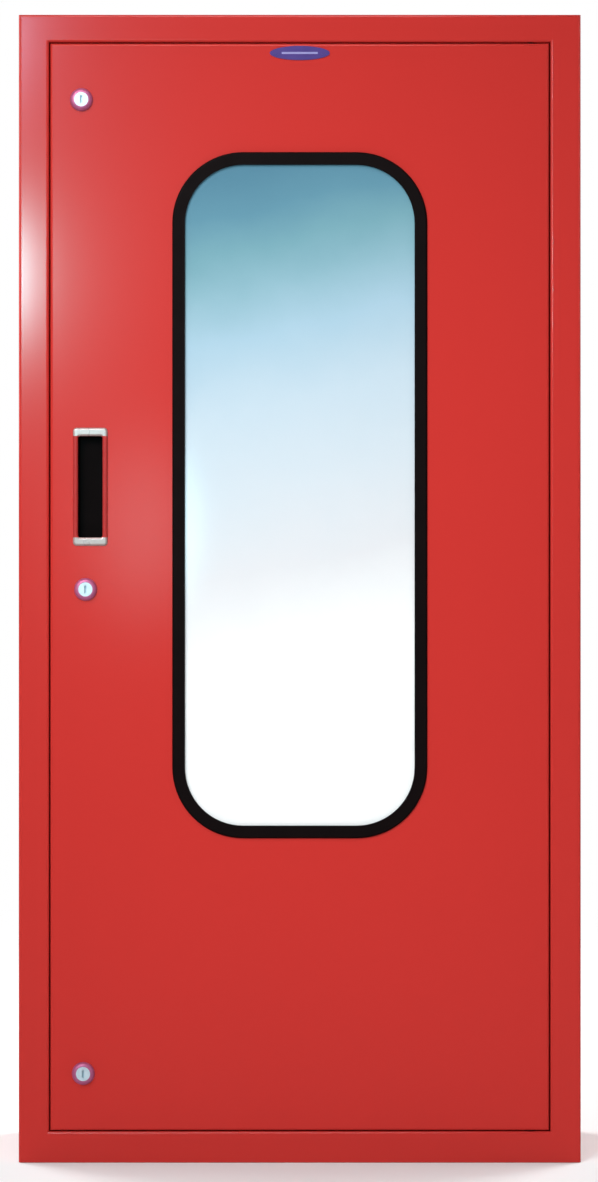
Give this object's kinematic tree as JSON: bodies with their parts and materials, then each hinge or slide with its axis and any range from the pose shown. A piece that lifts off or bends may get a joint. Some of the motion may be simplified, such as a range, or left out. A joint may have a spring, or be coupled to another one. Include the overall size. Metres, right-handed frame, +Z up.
{
  "type": "standpipe cabinet",
  "caption": "Tall red steel standpipe cabinet with a flush glazed door, cam locks, a recessed pull and an angle hose valve on a supply pipe inside.",
  "frame": {"origin": "middle of the steel box's underside", "axes": "+X to the right as seen from the front, -Y towards the person opening the door, +Z up"},
  "size_m": [0.6, 0.245, 1.225],
  "materials": {
    "red_paint": "gloss",
    "valve_paint": "satin",
    "black_rubber": "matte",
    "window_glass": "gloss",
    "chrome": "polished",
    "zinc_steel": "satin",
    "galvanised": "matte",
    "brass": "satin",
    "black_plastic": "matte",
    "blue_enamel": "gloss",
    "foam": "matte"
  },
  "bodies": {
    "cabinet": {"left_side_panel": "red_paint", "right_side_panel": "red_paint", "top_panel": "red_paint", "bottom_panel": "red_paint", "back_panel": "red_paint", "door_seal": "foam", "hinge_pins": "zinc_steel", "pipe_grommet": "black_rubber", "supply_coupling": "galvanised", "supply_pipe": "galvanised", "pipe_bracket": "red_paint", "u_bolt": "zinc_steel", "clamp_nuts": "zinc_steel", "valve_body": "brass", "valve_bonnet": "brass", "bonnet_bolts": "zinc_steel", "stem_packing": "black_rubber", "gland_nut": "brass", "hose_saddle": "red_paint", "saddle_studs": "zinc_steel", "saddle_nuts": "zinc_steel"},
    "door": {"door_pan": "red_paint", "door_stiffeners": "red_paint", "hinge_blocks": "zinc_steel", "hinge_bushes": "black_plastic", "hinge_washers": "black_plastic", "window_pane": "window_glass", "window_gasket": "black_rubber", "gasket_strip": "black_rubber", "pull_frame": "chrome", "pull_cup": "black_plastic", "pull_nuts": "zinc_steel", "label_plate": "blue_enamel", "label_rivets": "zinc_steel", "lock_housings": "chrome", "lock_nuts": "zinc_steel"},
    "upper_lock": {"upper_lock_plug": "chrome", "upper_lock_cam": "zinc_steel", "upper_cam_screw": "zinc_steel"},
    "middle_lock": {"middle_lock_plug": "chrome", "middle_lock_cam": "zinc_steel", "middle_cam_screw": "zinc_steel"},
    "lower_lock": {"lower_lock_plug": "chrome", "lower_lock_cam": "zinc_steel", "lower_cam_screw": "zinc_steel"},
    "disc": {"valve_disc": "brass"},
    "handwheel": {"valve_stem": "brass", "handwheel": "valve_paint", "handwheel_nut": "brass"}
  },
  "joints": [
    {"name": "door_hinge", "type": "hinge", "parent": "cabinet", "child": "door", "pos_m": [0.2463, -0.112, 0.6125], "axis": [0, 0, 1], "range_deg": [0, 120]},
    {"name": "upper_lock_turn", "type": "hinge", "parent": "door", "child": "upper_lock", "pos_m": [-0.233, -0.12, 1.134], "axis": [0, 1, 0], "range_deg": [0, 90]},
    {"name": "middle_lock_turn", "type": "hinge", "parent": "door", "child": "middle_lock", "pos_m": [-0.2285, -0.12, 0.6115], "axis": [0, 1, 0], "range_deg": [0, 90]},
    {"name": "lower_lock_turn", "type": "hinge", "parent": "door", "child": "lower_lock", "pos_m": [-0.231, -0.12, 0.095], "axis": [0, 1, 0], "range_deg": [0, 90]},
    {"name": "disc_lift", "type": "slide", "parent": "cabinet", "child": "disc", "axis": [0, 0, 1], "range_m": [0, 0.018]},
    {"name": "handwheel_turn", "type": "hinge", "parent": "disc", "child": "handwheel", "pos_m": [0.12, 0.02, 0.478], "axis": [0, 0, 1], "range_deg": [0, 1080]}
  ],
  "couplings": [
    {"joint": "disc_lift", "follows": "handwheel_turn", "m_per_rad": 0.000954}
  ]
}
